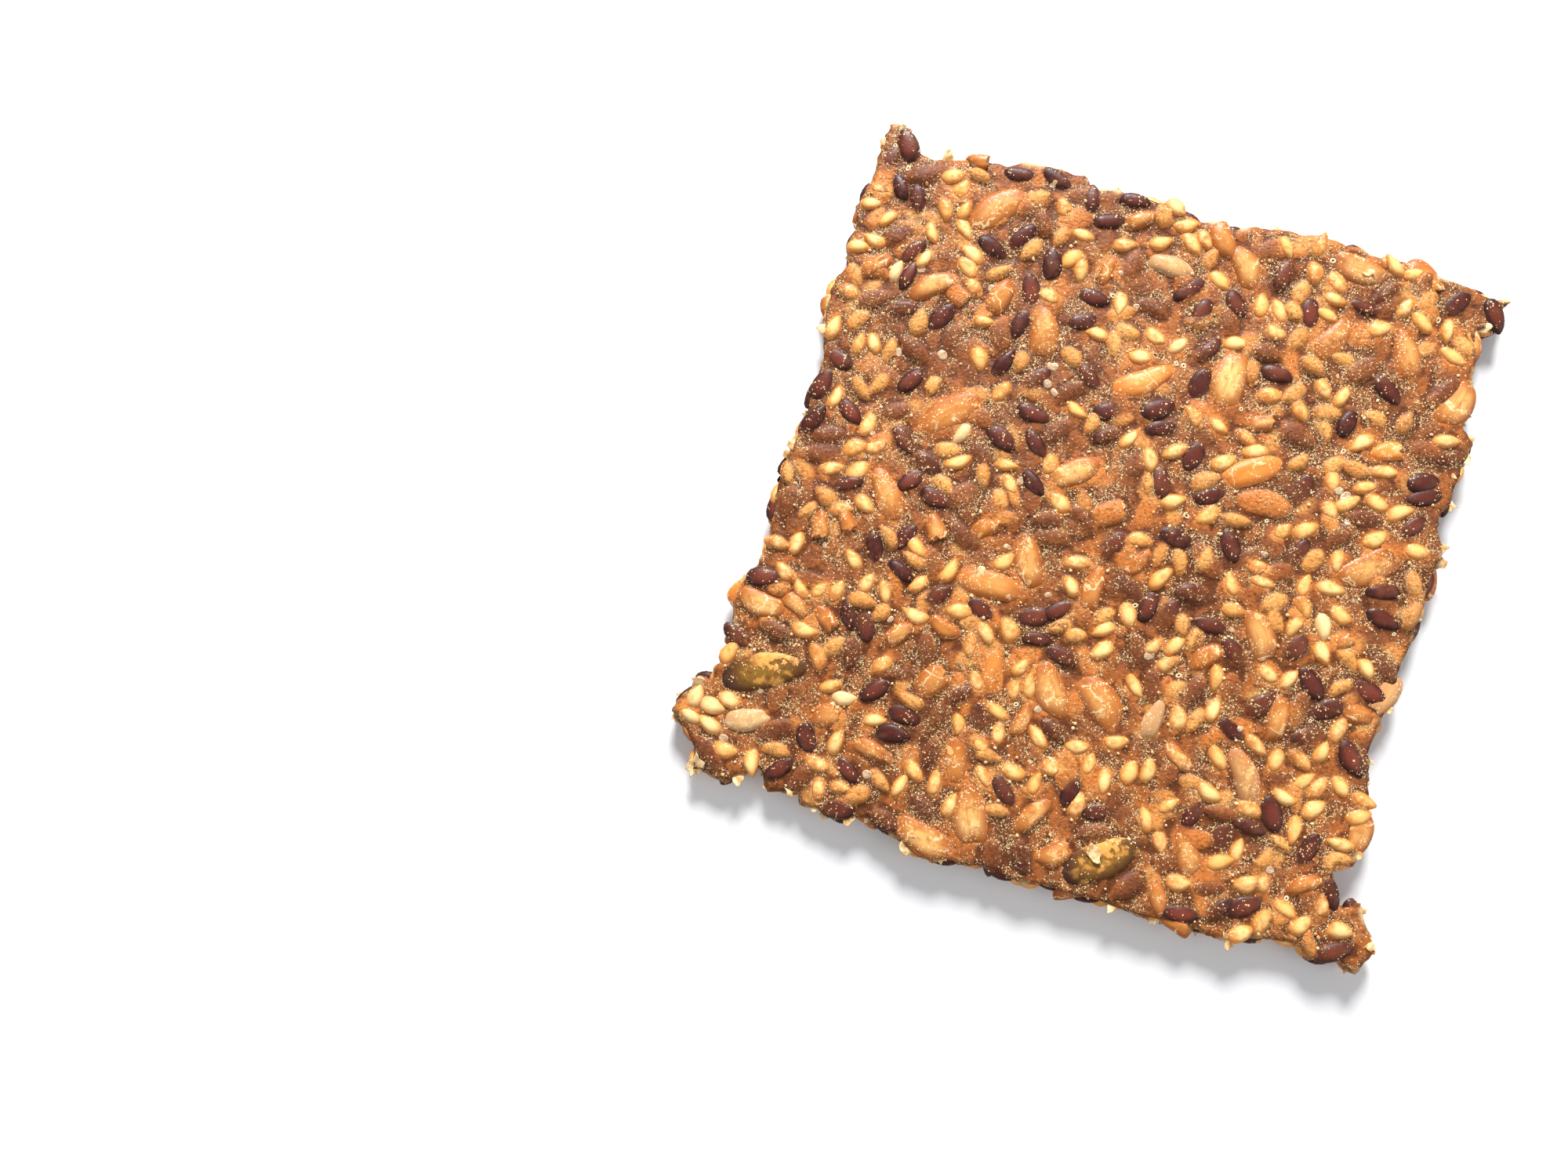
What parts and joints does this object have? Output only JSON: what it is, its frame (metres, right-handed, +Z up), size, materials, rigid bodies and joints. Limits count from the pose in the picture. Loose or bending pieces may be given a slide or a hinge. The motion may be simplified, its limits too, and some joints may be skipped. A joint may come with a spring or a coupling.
{
  "type": "multigrain cracker",
  "caption": "Thin square seed cracker with broken edges, whole seeds baked into a glossy dough on both faces.",
  "frame": {"origin": "under the middle of the cracker, at the level of its lowest seeds", "axes": "+Z up out of the smooth face, +Y towards the side with the standing ear, +X along the side edge to edge"},
  "size_m": [0.0966, 0.0976, 0.0049],
  "materials": {
    "baked_seed_dough": "glossy amber-brown baked dough with pale, tan and dark seeds under a thin clear film"
  },
  "bodies": {
    "root": {"cracker": "baked_seed_dough"}
  },
  "joints": []
}
